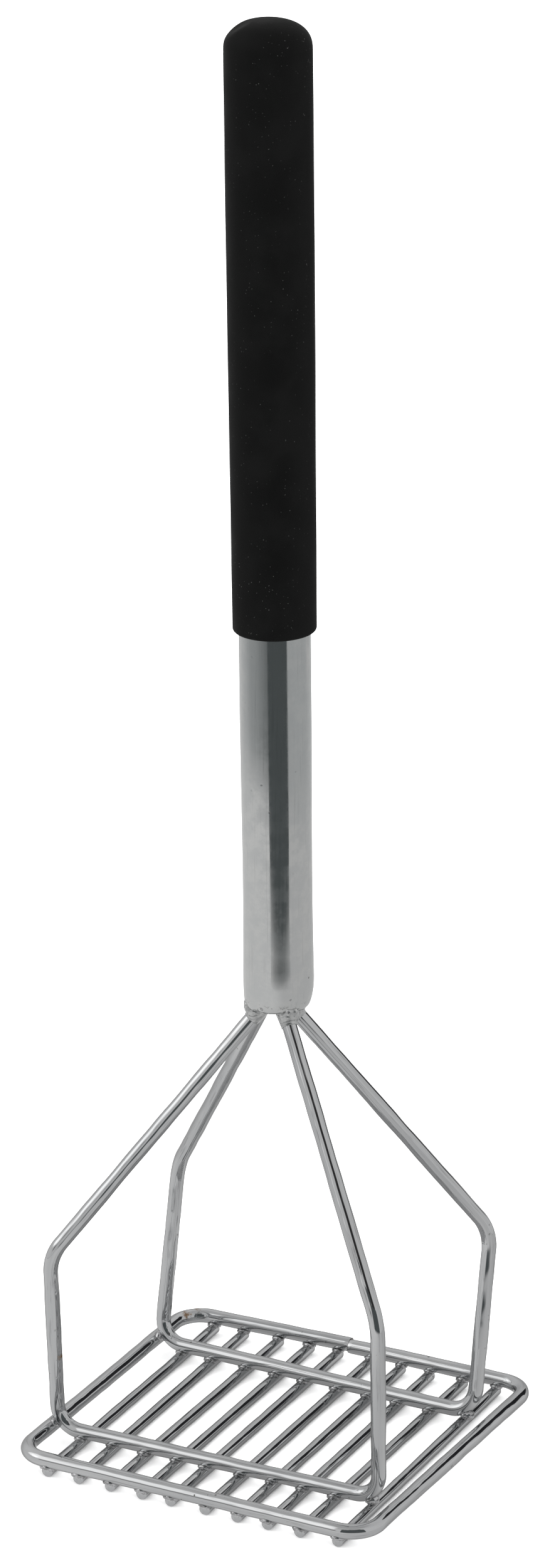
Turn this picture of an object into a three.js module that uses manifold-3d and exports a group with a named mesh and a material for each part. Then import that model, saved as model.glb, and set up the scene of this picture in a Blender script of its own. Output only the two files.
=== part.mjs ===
// Square-faced potato masher: a welded wire head on a tube handle with a vinyl grip.
// Millimetres, +Z up. The origin is the centre of the head, on the surface it stands on.
import * as THREE from 'three';
import { mergeVertices } from 'three/addons/utils/BufferGeometryUtils.js';
import Module from 'manifold-3d';

const wasm = await Module();
wasm.setup();

// Driving dimensions
const WIRE_DIAMETER = 4.9;       // rim and bails
const BAR_DIAMETER = 3.75;       // mashing bars
const WELD_SINK = 0.4;           // how far the rim and bails are pressed into the bars
const CLEARANCE = 0.3;           // gap kept between pieces that touch on the real tool
const SIDES = 12;                // facets round a wire
const BEND_STEPS = 5;            // facets along a bend

// The rim's centre line, corner by corner. It was bent by hand, so it isn't quite a rectangle, and
// the two ends of its wire miss each other a little at the butt weld in the rear run.
const RIM = {
  frontLeft: [-60.2, -59.9],
  frontRight: [61.7, -59.9],
  rearRight: [62.0, 59.0],
  seamRight: [-0.7, 58.83],
  seamLeft: [-5.7, 59.74],
  rearLeft: [-62.4, 57.3],
  cornerRadius: 9.5,
  seamRadius: 12,
};

// The bars were laid by hand: each is a little off its even place, and runs a little towards -X.
const BARS = {
  firstX: -49.6,                 // first bar, at its front end
  pitch: 11.1,
  frontY: -60.1,
  rearOverhang: 0.5,             // how far a bar runs past the middle of the rear rim
  offsets: [0, 0, 0.2, 0.3, -0.6, 0.4, 0.4, 0, 0, 2],
  leans: [-2.9, -3.2, -1.8, -1.9, -1.8, -1.9, -1.8, -2.2, -1.3, -2.6],
};

const MOUTH_Z = 148;             // lower end of the handle tube
const STUB_TOP_Z = 163;          // how far the wires reach up inside the tube

// Each bail is one wire: up the left leg, along the foot run, and up the right leg.
const BAILS = {
  front: {
    left: { foot: [-58.2, -37.3], knee: [-59.4, -39.8, 65.5], mouth: [-3.6, -2.9] },
    right: { foot: [54.0, -34.9], knee: [55.0, -39.1, 66.6], mouth: [3.7, -2.8] },
  },
  rear: {
    left: { foot: [-59.7, 33.8], knee: [-59.1, 44.7, 64.7], mouth: [-4.9, 2.5] },
    right: { foot: [54.1, 32.6], knee: [53.2, 44.7, 64.6], mouth: [1.9, 2.6] },
  },
};
const BEND_RADIUS = { foot: 8, knee: 15, mouth: 6 };

const HANDLE = {
  x: 0.2,
  y: 0.3,
  lean: THREE.MathUtils.degToRad(-1),      // the handle leans towards -X
  segments: 40,
};
const TUBE = { radius: 11, wall: 1.2, topZ: 447, neckHeight: 9, mouthRadius: 9.6, mouthShift: -0.6 };
const GRIP = {
  bottomRadius: 12.95,
  topRadius: 13.3,
  bottomZ: 269.8,
  topZ: 457.7,
  lipRadius: 1,
  domeHeight: 9,
  domePower: 2.4,
};

const MATERIALS = {
  wire: { color: 0xc4c6c8, roughness: 0.16, metalness: 1 },
  tube: { color: 0x9fa2a3, roughness: 0.42, metalness: 1 },
  weld: { color: 0x84868a, roughness: 0.45, metalness: 1 },
  grip: { color: 0x1a1a19, roughness: 0.82, metalness: 0 },
};

// Heights that follow from the wire sizes
const barZ = BAR_DIAMETER / 2;
const wireZ = BAR_DIAMETER + WIRE_DIAMETER / 2 - WELD_SINK;

// ---------------------------------------------------------------- wire helpers

// A path given by its stations, so that straight stretches take one step and bends take several.
class BentWire extends THREE.Curve {
  constructor(stations) {
    super();
    this.stations = stations;
  }

  stationAt(u) {
    return this.stations[Math.round(u * (this.stations.length - 1))];
  }

  getPoint(u) {
    return this.stationAt(u).point.clone();
  }

  getPointAt(u) {
    return this.getPoint(u);
  }

  getTangentAt(u) {
    return this.stationAt(u).tangent.clone();
  }
}

// The stations of one round bend at a corner, from the leg that comes in to the leg that goes out.
function bendStations(before, corner, after, radius) {
  const into = corner.clone().sub(before).normalize();
  const outOf = after.clone().sub(corner).normalize();
  const angle = into.angleTo(outOf);
  const inward = outOf.clone().addScaledVector(into, -Math.cos(angle)).normalize();
  const start = corner.clone().addScaledVector(into, -radius * Math.tan(angle / 2));
  const centre = start.clone().addScaledVector(inward, radius);
  const stations = [];
  for (let step = 0; step <= BEND_STEPS; step += 1) {
    const turn = (angle * step) / BEND_STEPS;
    const point = centre.clone();
    point.addScaledVector(inward, -radius * Math.cos(turn));
    point.addScaledVector(into, radius * Math.sin(turn));
    const tangent = into.clone().multiplyScalar(Math.cos(turn));
    tangent.addScaledVector(inward, Math.sin(turn));
    stations.push({ point, tangent });
  }
  return stations;
}

// A regular polygon whose facets touch the circle, with one facet facing each axis.
function wireSection(diameter) {
  const cornerRadius = diameter / 2 / Math.cos(Math.PI / SIDES);
  const points = [];
  for (let side = 0; side < SIDES; side += 1) {
    const angle = (2 * Math.PI * (side + 0.5)) / SIDES;
    points.push(new THREE.Vector2(cornerRadius * Math.cos(angle), cornerRadius * Math.sin(angle)));
  }
  return new THREE.Shape(points);
}

function sweptWire(stations, diameter) {
  return new THREE.ExtrudeGeometry(wireSection(diameter), {
    steps: stations.length - 1,
    extrudePath: new BentWire(stations),
  });
}

// The same sweep with its two end faces left out, for a path that comes back to its start.
function endlessWire(stations, diameter) {
  const swept = sweptWire(stations, diameter);
  const walls = swept.groups[1];
  const wallEnd = walls.start + walls.count;
  const positions = swept.getAttribute('position').array.slice(walls.start * 3, wallEnd * 3);
  const geometry = new THREE.BufferGeometry();
  geometry.setAttribute('position', new THREE.BufferAttribute(positions, 3));
  return geometry;
}

// ---------------------------------------------------------------- booleans

function toSolid(geometry) {
  const bare = geometry.clone();
  bare.deleteAttribute('normal');
  bare.deleteAttribute('uv');
  const merged = mergeVertices(bare, 1e-4);
  return new wasm.Manifold(new wasm.Mesh({
    numProp: 3,
    vertProperties: Float32Array.from(merged.getAttribute('position').array),
    triVerts: Uint32Array.from(merged.getIndex().array),
  }));
}

function toGeometry(solid) {
  const mesh = solid.getMesh();
  const geometry = new THREE.BufferGeometry();
  geometry.setAttribute('position', new THREE.BufferAttribute(mesh.vertProperties, 3));
  geometry.setIndex(new THREE.BufferAttribute(mesh.triVerts, 1));
  geometry.computeVertexNormals();
  return geometry;
}

function cutAway(solid, cutters) {
  return cutters.reduce((rest, cutter) => rest.subtract(cutter), solid);
}

// ---------------------------------------------------------------- paths

function rimStations() {
  const { cornerRadius, seamRadius } = RIM;
  const bends = [
    ['frontLeft', cornerRadius], ['frontRight', cornerRadius], ['rearRight', cornerRadius],
    ['seamRight', seamRadius], ['seamLeft', seamRadius], ['rearLeft', cornerRadius],
  ].map(([name, radius]) => ({ corner: new THREE.Vector3(...RIM[name], wireZ), radius }));
  const stations = bends.flatMap(({ corner, radius }, index) => {
    const before = bends.at(index - 1).corner;
    const after = bends[(index + 1) % bends.length].corner;
    return bendStations(before, corner, after, radius);
  });
  return [...stations, stations[0]];
}

function legPoints({ foot, knee, mouth }) {
  return [
    new THREE.Vector3(...mouth, STUB_TOP_Z),
    new THREE.Vector3(...mouth, MOUTH_Z),
    new THREE.Vector3(...knee),
    new THREE.Vector3(...foot, wireZ),
  ];
}

function bailStations({ left, right }) {
  const points = [...legPoints(left), ...legPoints(right).reverse()];
  const { foot, knee, mouth } = BEND_RADIUS;
  const radii = [mouth, knee, foot, foot, knee, mouth];
  const down = new THREE.Vector3(0, 0, -1);
  const bends = radii.flatMap(
    (radius, index) => bendStations(points[index], points[index + 1], points[index + 2], radius),
  );
  return [
    { point: points[0], tangent: down },
    ...bends,
    { point: points.at(-1), tangent: down.clone().negate() },
  ];
}

// The straight runs of wire that cross the bars, each through a row of [x, y] points from -X to +X.
const runs = {
  rim_front: { wire: 'rim', points: [RIM.frontLeft, RIM.frontRight] },
  bail_front: { wire: 'frontBail', points: [BAILS.front.left.foot, BAILS.front.right.foot] },
  bail_rear: { wire: 'rearBail', points: [BAILS.rear.left.foot, BAILS.rear.right.foot] },
  rim_rear: { wire: 'rim', points: [RIM.rearLeft, RIM.seamLeft, RIM.seamRight, RIM.rearRight] },
};

// A bar's front end, and the way it runs.
function barLine(index) {
  const x = BARS.firstX + BARS.pitch * index + BARS.offsets[index];
  return { x, y: BARS.frontY, slope: BARS.leans[index] / (RIM.rearRight[1] - BARS.frontY) };
}

// Where a bar's middle line passes under a run.
function crossingAt(index, points) {
  const bar = barLine(index);
  let { x, y } = bar;
  for (let pass = 0; pass < 3; pass += 1) {
    const after = points.findIndex(([pointX], place) => place > 0 && pointX >= x);
    const [startX, startY] = points[after - 1];
    const [endX, endY] = points[after];
    y = startY + ((endY - startY) * (x - startX)) / (endX - startX);
    x = bar.x + bar.slope * (y - bar.y);
  }
  return { x, y };
}

function barEnds(index) {
  const bar = barLine(index);
  const rear = crossingAt(index, runs.rim_rear.points);
  return {
    front: new THREE.Vector3(bar.x, bar.y, barZ),
    rear: new THREE.Vector3(rear.x + bar.slope * BARS.rearOverhang, rear.y + BARS.rearOverhang, barZ),
  };
}

function straightStations({ front, rear }) {
  const tangent = rear.clone().sub(front).normalize();
  return [{ point: front, tangent }, { point: rear, tangent }];
}

// ---------------------------------------------------------------- the wire head

const paths = {
  rim: rimStations(),
  frontBail: bailStations(BAILS.front),
  rearBail: bailStations(BAILS.rear),
};
const barPaths = BARS.offsets.map((offset, index) => straightStations(barEnds(index)));

// Each wire again, thicker by the clearance, to cut room for it in its neighbours.
const thickWire = WIRE_DIAMETER + 2 * CLEARANCE;
const room = {
  rim: toSolid(endlessWire(paths.rim, thickWire)),
  frontBail: toSolid(sweptWire(paths.frontBail, thickWire)),
  rearBail: toSolid(sweptWire(paths.rearBail, thickWire)),
  bars: barPaths.map((path) => toSolid(sweptWire(path, BAR_DIAMETER + 2 * CLEARANCE))),
};

function barGeometry(path) {
  const whole = toSolid(sweptWire(path, BAR_DIAMETER));
  return toGeometry(cutAway(whole, [room.rim, room.frontBail, room.rearBail]));
}

// ---------------------------------------------------------------- welds

function beadSolid(centre, radii) {
  const bead = new THREE.SphereGeometry(1, 8, 5);
  bead.rotateX(Math.PI / 2);
  bead.scale(...radii);
  bead.translate(centre.x, centre.y, centre.z);
  return toSolid(bead);
}

// The metal squeezed out round a crossing. It hugs the wire above and the bar below.
const CROSSING_BEAD = { radii: [3.1, 3.3, 2.4], z: 3.5, rimInset: 0.9 };
const CORNER_BEADS = {
  front_left: { offset: [-1.0, 0, 7.5], radii: [2.2, 3.7, 2.6], wire: 'frontBail' },
  rear_left: { offset: [-0.3, 0, 7.7], radii: [2.2, 3.7, 2.6], wire: 'rearBail' },
  front_right: { offset: [-2.4, 0, 4.6], radii: [3.6, 3.4, 3.2], wire: 'frontBail' },
  rear_right: { offset: [-2.3, 0, 4.6], radii: [3.6, 3.4, 3.2], wire: 'rearBail' },
};

function crossingWeld(index, run) {
  const { x, y } = crossingAt(index, run.points);
  const centre = new THREE.Vector3(x, y, CROSSING_BEAD.z);
  if (run.wire === 'rim') centre.y -= Math.sign(centre.y) * CROSSING_BEAD.rimInset;
  const bead = beadSolid(centre, CROSSING_BEAD.radii);
  return toGeometry(cutAway(bead, [room[run.wire], room.bars[index]]));
}

function cornerWeld(place) {
  const [bailName, side] = place.split('_');
  const { offset, radii, wire } = CORNER_BEADS[place];
  const [footX, footY] = BAILS[bailName][side].foot;
  const centre = new THREE.Vector3(footX + offset[0], footY + offset[1], offset[2]);
  const lastBar = room.bars.at(-1);
  return toGeometry(cutAway(beadSolid(centre, radii), [room[wire], room.rim, lastBar]));
}

// ---------------------------------------------------------------- the handle

// Points of a quarter superellipse from the side of the grip up to its crown.
function domeProfile(radius, height, baseZ, steps) {
  const points = [];
  for (let step = 0; step <= steps; step += 1) {
    const angle = (Math.PI / 2) * (step / steps);
    const across = radius * Math.cos(angle) ** (2 / GRIP.domePower);
    const up = height * Math.sin(angle) ** (2 / GRIP.domePower);
    points.push(new THREE.Vector2(step === steps ? 0 : across, baseZ + up));
  }
  return points;
}

function lathe(points) {
  const geometry = new THREE.LatheGeometry(points, HANDLE.segments);
  geometry.rotateX(Math.PI / 2);
  return geometry;
}

function gripGeometry() {
  const bore = TUBE.radius + CLEARANCE;
  const domeBase = GRIP.topZ - GRIP.domeHeight;
  const ceiling = TUBE.topZ + CLEARANCE;
  const lip = [];
  for (let step = 0; step <= 4; step += 1) {
    const angle = (Math.PI / 2) * (step / 4);
    const reach = GRIP.bottomRadius - GRIP.lipRadius * (1 - Math.sin(angle));
    const height = GRIP.bottomZ + GRIP.lipRadius * (1 - Math.cos(angle));
    lip.push(new THREE.Vector2(Math.max(reach, bore + 0.2), height));
  }
  return lathe([
    new THREE.Vector2(0, ceiling),
    new THREE.Vector2(bore, ceiling),
    new THREE.Vector2(bore, GRIP.bottomZ),
    ...lip,
    ...domeProfile(GRIP.topRadius, GRIP.domeHeight, domeBase, 8),
  ]);
}

// The tube is open at both ends, and its lower end is necked in over the wires.
function tubeGeometry() {
  const { radius, wall, topZ, neckHeight, mouthRadius, mouthShift } = TUBE;
  const steps = 4;
  const neck = [];
  for (let step = 0; step <= steps; step += 1) {
    const angle = (Math.PI / 2) * (step / steps);
    const outer = mouthRadius + (radius - mouthRadius) * Math.sin(angle);
    neck.push(new THREE.Vector2(outer, MOUTH_Z + neckHeight * (1 - Math.cos(angle))));
  }
  const outside = [...neck, new THREE.Vector2(radius, topZ)];
  const inside = outside.map((point) => new THREE.Vector2(point.x - wall, point.y)).reverse();
  const geometry = lathe([...outside, ...inside, outside[0]]);
  const positions = geometry.getAttribute('position');
  for (let index = 0; index < positions.count; index += 1) {
    const depth = Math.max(0, 1 - (positions.getZ(index) - MOUTH_Z) / neckHeight);
    positions.setX(index, positions.getX(index) + mouthShift * depth ** 2);
  }
  return geometry;
}

// The braze that closes the tube's mouth and runs a little way down each leg as a collar.
const BRAZE = { height: 5, collarTop: 3.7, collarEnd: 2.8, collarLength: 6.5, sunkTop: 1.5, sides: 8 };

function collarSolid({ knee, mouth }) {
  const top = new THREE.Vector3(...mouth, MOUTH_Z);
  const along = new THREE.Vector3(...knee).sub(top).normalize();
  const length = BRAZE.collarLength + BRAZE.sunkTop;
  const collar = new THREE.CylinderGeometry(BRAZE.collarTop, BRAZE.collarEnd, length, BRAZE.sides);
  collar.translate(0, BRAZE.sunkTop - length / 2, 0);
  const turn = new THREE.Quaternion().setFromUnitVectors(new THREE.Vector3(0, -1, 0), along);
  collar.applyQuaternion(turn);
  collar.translate(top.x, top.y, top.z);
  return toSolid(collar);
}

function brazeGeometry() {
  const radius = TUBE.mouthRadius - TUBE.wall - CLEARANCE;
  const plug = new THREE.CylinderGeometry(radius, radius, BRAZE.height, 2 * BRAZE.sides);
  plug.rotateX(Math.PI / 2);
  plug.translate(HANDLE.x + TUBE.mouthShift, HANDLE.y, MOUTH_Z + BRAZE.height / 2 - 1);
  const legs = Object.values(BAILS).flatMap(({ left, right }) => [left, right]);
  const lump = legs.reduce((whole, leg) => whole.add(collarSolid(leg)), toSolid(plug));
  const mouthRoom = handlePlace(tubeRoomGeometry());
  return toGeometry(cutAway(lump, [room.frontBail, room.rearBail, toSolid(mouthRoom)]));
}

// The tube's wall at its mouth, thicker by the clearance on every side.
function tubeRoomGeometry() {
  const { radius, wall, mouthRadius, neckHeight, mouthShift } = TUBE;
  const lower = MOUTH_Z - CLEARANCE;
  const upper = MOUTH_Z + neckHeight;
  const inner = mouthRadius - wall - CLEARANCE;
  const sleeve = lathe([
    new THREE.Vector2(inner, lower),
    new THREE.Vector2(radius + 1, lower),
    new THREE.Vector2(radius + 1, upper),
    new THREE.Vector2(inner, upper),
    new THREE.Vector2(inner, lower),
  ]);
  sleeve.translate(mouthShift, 0, 0);
  return sleeve;
}

// Leans a piece with the handle, about the middle of the tube's mouth.
function handlePlace(geometry) {
  geometry.translate(0, 0, -MOUTH_Z);
  geometry.rotateY(HANDLE.lean);
  geometry.translate(HANDLE.x, HANDLE.y, MOUTH_Z);
  return geometry;
}

// ---------------------------------------------------------------- assembly

const materials = Object.fromEntries(
  Object.entries(MATERIALS).map(([name, values]) => [name, new THREE.MeshStandardMaterial(values)]),
);

function piece(name, geometry, material) {
  const mesh = new THREE.Mesh(geometry, materials[material].clone());
  mesh.name = name;
  return mesh;
}

function headGroup() {
  const head = new THREE.Group();
  head.add(piece('rim_ring', endlessWire(paths.rim, WIRE_DIAMETER), 'wire'));
  head.add(piece('front_bail', sweptWire(paths.frontBail, WIRE_DIAMETER), 'wire'));
  head.add(piece('rear_bail', sweptWire(paths.rearBail, WIRE_DIAMETER), 'wire'));
  barPaths.forEach((path, index) => {
    head.add(piece(`mashing_bar_${String(index + 1).padStart(2, '0')}`, barGeometry(path), 'wire'));
  });
  return head;
}

function weldGroup() {
  const welds = new THREE.Group();
  for (const [runName, run] of Object.entries(runs)) {
    barPaths.forEach((path, index) => {
      const underBend = run.wire !== 'rim' && index === barPaths.length - 1;
      if (underBend) return;
      const name = `weld_${runName}_${String(index + 1).padStart(2, '0')}`;
      welds.add(piece(name, crossingWeld(index, run), 'weld'));
    });
  }
  for (const place of Object.keys(CORNER_BEADS)) {
    welds.add(piece(`weld_corner_${place}`, cornerWeld(place), 'weld'));
  }
  welds.add(piece('tube_end_braze', brazeGeometry(), 'weld'));
  return welds;
}

function handleGroup() {
  const handle = new THREE.Group();
  const tube = piece('handle_tube', tubeGeometry(), 'tube');
  const grip = piece('grip', gripGeometry(), 'grip');
  for (const part of [tube, grip]) {
    part.geometry.translate(0, 0, -MOUTH_Z);
    handle.add(part);
  }
  handle.position.set(HANDLE.x, HANDLE.y, MOUTH_Z);
  handle.rotation.y = HANDLE.lean;
  return handle;
}

const group = new THREE.Group();
group.add(headGroup(), weldGroup(), handleGroup());

export default group;
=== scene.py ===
import math

import bmesh
import bpy
from mathutils import Matrix, Vector, noise


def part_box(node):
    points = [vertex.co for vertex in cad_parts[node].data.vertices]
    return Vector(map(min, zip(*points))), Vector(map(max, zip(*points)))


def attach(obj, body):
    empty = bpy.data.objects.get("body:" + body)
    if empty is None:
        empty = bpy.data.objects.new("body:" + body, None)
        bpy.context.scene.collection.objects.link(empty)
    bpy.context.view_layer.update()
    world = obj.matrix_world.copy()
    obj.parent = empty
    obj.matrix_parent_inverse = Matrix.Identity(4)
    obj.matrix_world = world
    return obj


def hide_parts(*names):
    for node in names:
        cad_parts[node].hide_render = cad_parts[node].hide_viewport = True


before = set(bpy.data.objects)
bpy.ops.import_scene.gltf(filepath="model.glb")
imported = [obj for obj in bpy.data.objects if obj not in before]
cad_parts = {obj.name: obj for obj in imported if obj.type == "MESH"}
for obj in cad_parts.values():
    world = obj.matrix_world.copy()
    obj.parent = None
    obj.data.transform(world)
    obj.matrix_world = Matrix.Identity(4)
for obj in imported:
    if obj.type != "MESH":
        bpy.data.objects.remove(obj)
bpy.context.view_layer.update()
nodeNames = sorted(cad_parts)
mm = 0.001
print("frame loaded:", len(nodeNames), "nodes")


# Small helpers for node trees

def feed(tree, socket, value):
    # Another node's output is linked, and anything else becomes the socket's own value.
    if isinstance(value, bpy.types.NodeSocket):
        tree.links.new(value, socket)
    else:
        socket.default_value = value


def addNode(tree, kind, inputs=None, **settings):
    node = tree.nodes.new(kind)
    for key, value in settings.items():
        setattr(node, key, value)
    for key, value in (inputs or {}).items():
        feed(tree, node.inputs[key], value)
    return node


def mathNode(tree, operation, *values, clamp=False):
    node = addNode(tree, "ShaderNodeMath", dict(enumerate(values)), operation=operation, use_clamp=clamp)
    return node.outputs[0]


def vectorMath(tree, operation, *values, scale=None):
    inputs = dict(enumerate(values))
    if scale is not None:
        inputs["Scale"] = scale
    node = addNode(tree, "ShaderNodeVectorMath", inputs, operation=operation)
    return node.outputs["Value" if operation in ("DISTANCE", "LENGTH") else "Vector"]


def separate(tree, vector):
    return addNode(tree, "ShaderNodeSeparateXYZ", {"Vector": vector}).outputs


def combine(tree, x, y, z):
    return addNode(tree, "ShaderNodeCombineXYZ", {"X": x, "Y": y, "Z": z}).outputs["Vector"]


def greyColor(tree, level):
    return addNode(tree, "ShaderNodeCombineColor", {"Red": level, "Green": level, "Blue": level}).outputs[0]


def noiseNode(tree, place, scale, detail=2.0, roughness=0.5):
    return addNode(tree, "ShaderNodeTexNoise",
                   {"Vector": place, "Scale": scale, "Detail": detail, "Roughness": roughness})


def rampNode(tree, value, low, high, toLow=0.0, toHigh=1.0, shape="SMOOTHSTEP"):
    node = addNode(tree, "ShaderNodeMapRange",
                   {"Value": value, "From Min": low, "From Max": high, "To Min": toLow, "To Max": toHigh},
                   interpolation_type=shape)
    return node.outputs["Result"]


mixSockets = {"first": 6, "second": 7, "result": 2}   # the Mix node's color sockets, by number


def mixColor(tree, factor, first, second):
    node = addNode(tree, "ShaderNodeMix", {"Factor": factor}, data_type="RGBA")
    for label, value in (("first", first), ("second", second)):
        linked = isinstance(value, bpy.types.NodeSocket)
        feed(tree, node.inputs[mixSockets[label]], value if linked else (*value, 1.0))
    return node.outputs[mixSockets["result"]]


def objectPlace(tree):
    return addNode(tree, "ShaderNodeTexCoord").outputs["Object"]


def newGroup(name, kind, inputs, outputs):
    tree = bpy.data.node_groups.new(name, kind)
    for label, socketType, default in inputs:
        socket = tree.interface.new_socket(label, in_out="INPUT", socket_type=socketType)
        if default is not None:
            socket.default_value = default
    for label, socketType in outputs:
        tree.interface.new_socket(label, in_out="OUTPUT", socket_type=socketType)
    return tree, tree.nodes.new("NodeGroupInput"), tree.nodes.new("NodeGroupOutput")


# Shader effects that several finishes share

grainShape = {"detail": 3.0, "roughness": 0.6, "broadShare": 0.22}


def makeDrawnGrain():
    # Fine marks from drawing and polishing; the place it is given is squeezed along the run.
    tree, given, result = newGroup(
        "drawnGrain", "ShaderNodeTree",
        [("Scale", "NodeSocketFloat", 900.0), ("Place", "NodeSocketVector", None)],
        [("Fac", "NodeSocketFloat"), ("Broad", "NodeSocketFloat")])
    scale, place = given.outputs["Scale"], given.outputs["Place"]
    fine = noiseNode(tree, place, scale, grainShape["detail"], grainShape["roughness"])
    broad = noiseNode(tree, place, mathNode(tree, "MULTIPLY", scale, grainShape["broadShare"]))
    tree.links.new(fine.outputs["Fac"], result.inputs["Fac"])
    tree.links.new(broad.outputs["Fac"], result.inputs["Broad"])
    return tree


pitShape = {
    "warpScale": 1600.0, "warp": 0.6 * mm,        # bends the pits' outlines
    "inner": 0.6,                                 # where a pit is fully deep, as a share of its size
    "kept": 0.72,                                 # only cells whose own number is above this have a pit
    "crowdScale": 55.0, "crowdTop": 0.72,
}


def makePits():
    # Small sharp-edged pits, scattered and more crowded in some places.
    tree, given, result = newGroup(
        "platingPits", "ShaderNodeTree",
        [("Scale", "NodeSocketFloat", 420.0), ("Size", "NodeSocketFloat", 0.16),
         ("Crowding", "NodeSocketFloat", 0.56)],
        [("Mask", "NodeSocketFloat")])
    place = objectPlace(tree)
    size = given.outputs["Size"]
    warp = noiseNode(tree, place, pitShape["warpScale"], detail=1.0).outputs["Color"]
    moved = vectorMath(tree, "ADD", place, vectorMath(tree, "SCALE", warp, scale=pitShape["warp"]))
    cells = addNode(tree, "ShaderNodeTexVoronoi", {"Vector": moved, "Scale": given.outputs["Scale"]}).outputs
    pit = rampNode(tree, cells["Distance"], size, mathNode(tree, "MULTIPLY", size, pitShape["inner"]))
    chosen = addNode(tree, "ShaderNodeSeparateColor", {"Color": cells["Color"]}).outputs[0]
    few = mathNode(tree, "GREATER_THAN", chosen, pitShape["kept"])
    crowd = noiseNode(tree, place, pitShape["crowdScale"]).outputs["Fac"]
    where = rampNode(tree, crowd, given.outputs["Crowding"], pitShape["crowdTop"], shape="LINEAR")
    mask = mathNode(tree, "MULTIPLY", mathNode(tree, "MULTIPLY", pit, few), where, clamp=True)
    tree.links.new(mask, result.inputs["Mask"])
    return tree


stainShape = {"scale": 700.0, "detail": 4.0, "roughness": 0.7, "strength": 1.6, "edge": (0.42, 0.7)}


def makeStain():
    # A ragged stain round one place on a piece.
    tree, given, result = newGroup(
        "stainSpot", "ShaderNodeTree",
        [("Centre", "NodeSocketVector", None), ("Radius", "NodeSocketFloat", 0.006)],
        [("Mask", "NodeSocketFloat")])
    shape = stainShape
    place = objectPlace(tree)
    reach = vectorMath(tree, "DISTANCE", place, given.outputs["Centre"])
    near = rampNode(tree, reach, given.outputs["Radius"], 0.0, shape="LINEAR")
    ragged = noiseNode(tree, place, shape["scale"], shape["detail"], shape["roughness"]).outputs["Fac"]
    raised = mathNode(tree, "MULTIPLY", near, shape["strength"])
    mask = rampNode(tree, mathNode(tree, "MULTIPLY", raised, ragged), *shape["edge"])
    tree.links.new(mask, result.inputs["Mask"])
    return tree


drawnGrain = makeDrawnGrain()
platingPits = makePits()
stainSpot = makeStain()


def useGroup(tree, group, inputs):
    return addNode(tree, "ShaderNodeGroup", inputs, node_tree=group).outputs


def newMaterial(name, **values):
    material = bpy.data.materials.new(name)
    material.use_nodes = True
    tree = material.node_tree
    shader = tree.nodes["Principled BSDF"]
    for key, value in values.items():
        shader.inputs[key].default_value = value
    return material, tree, shader


def bumpNode(tree, height, depth, strength, normal=None):
    inputs = {"Height": height, "Distance": depth, "Strength": strength}
    if normal is not None:
        inputs["Normal"] = normal
    return addNode(tree, "ShaderNodeBump", inputs).outputs["Normal"]


def connectLook(tree, shader, color, roughness, normal):
    for label, value in (("Base Color", color), ("Roughness", roughness), ("Normal", normal)):
        tree.links.new(value, shader.inputs[label])


# In every look, "patches" and the like say where a noise starts and stops to count, and then what it
# gives at those two ends (0 and 1 if nothing is said). A noise is its scale, detail and roughness, and a
# bump is its depth and strength.
chromeLook = {
    "bright": (0.66, 0.665, 0.67),
    "dull": (0.57, 0.578, 0.585),
    "patches": (0.35, 0.7),
    "streak": (0.26, 0.26, 0.265),
    "streaks": (0.55, 0.72, 0.0, 0.45),
    "grainScale": 1500.0,
    "grainStretch": 0.05,         # how far the marks are drawn out along the wire
    "pit": (0.16, 0.155, 0.15),
    "pits": {"Scale": 460.0, "Size": 0.2, "Crowding": 0.5},
    "pitBump": (0.05 * mm, 1.0),
    "rust": (0.26, 0.17, 0.10),
    "rustRough": 0.6,
    "roughening": (0.3, 0.75, 0.025, 0.07),
    "wave": (300.0, 1.0),
    "waveStretch": (1.0, 1.0, 2.4),
    "waveGrain": 0.35,            # how much of the broad grain is added to the waves
    "waveBump": (0.035 * mm, 0.5),
    "edge": (0.42, 0.84, 1.0, 0.38),   # painted shade: a wire's colour turns darker towards its outline
    "seamEdge": (0.42 * mm, 0.22 * mm),
    "seamRagged": 0.25 * mm,
    "seamNoise": 900.0,
}


def seamLine(tree, place, seam):
    # The line where the rim wire's two ends meet, on the rear run only.
    look = chromeLook
    parts = separate(tree, place)
    gap = mathNode(tree, "ABSOLUTE", mathNode(tree, "SUBTRACT", parts["X"], seam))
    ragged = noiseNode(tree, place, look["seamNoise"]).outputs["Fac"]
    aside = mathNode(tree, "ADD", gap, mathNode(tree, "MULTIPLY", ragged, look["seamRagged"]))
    behind = mathNode(tree, "GREATER_THAN", parts["Y"], 0.0)
    return mathNode(tree, "MULTIPLY", rampNode(tree, aside, *look["seamEdge"]), behind)


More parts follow.
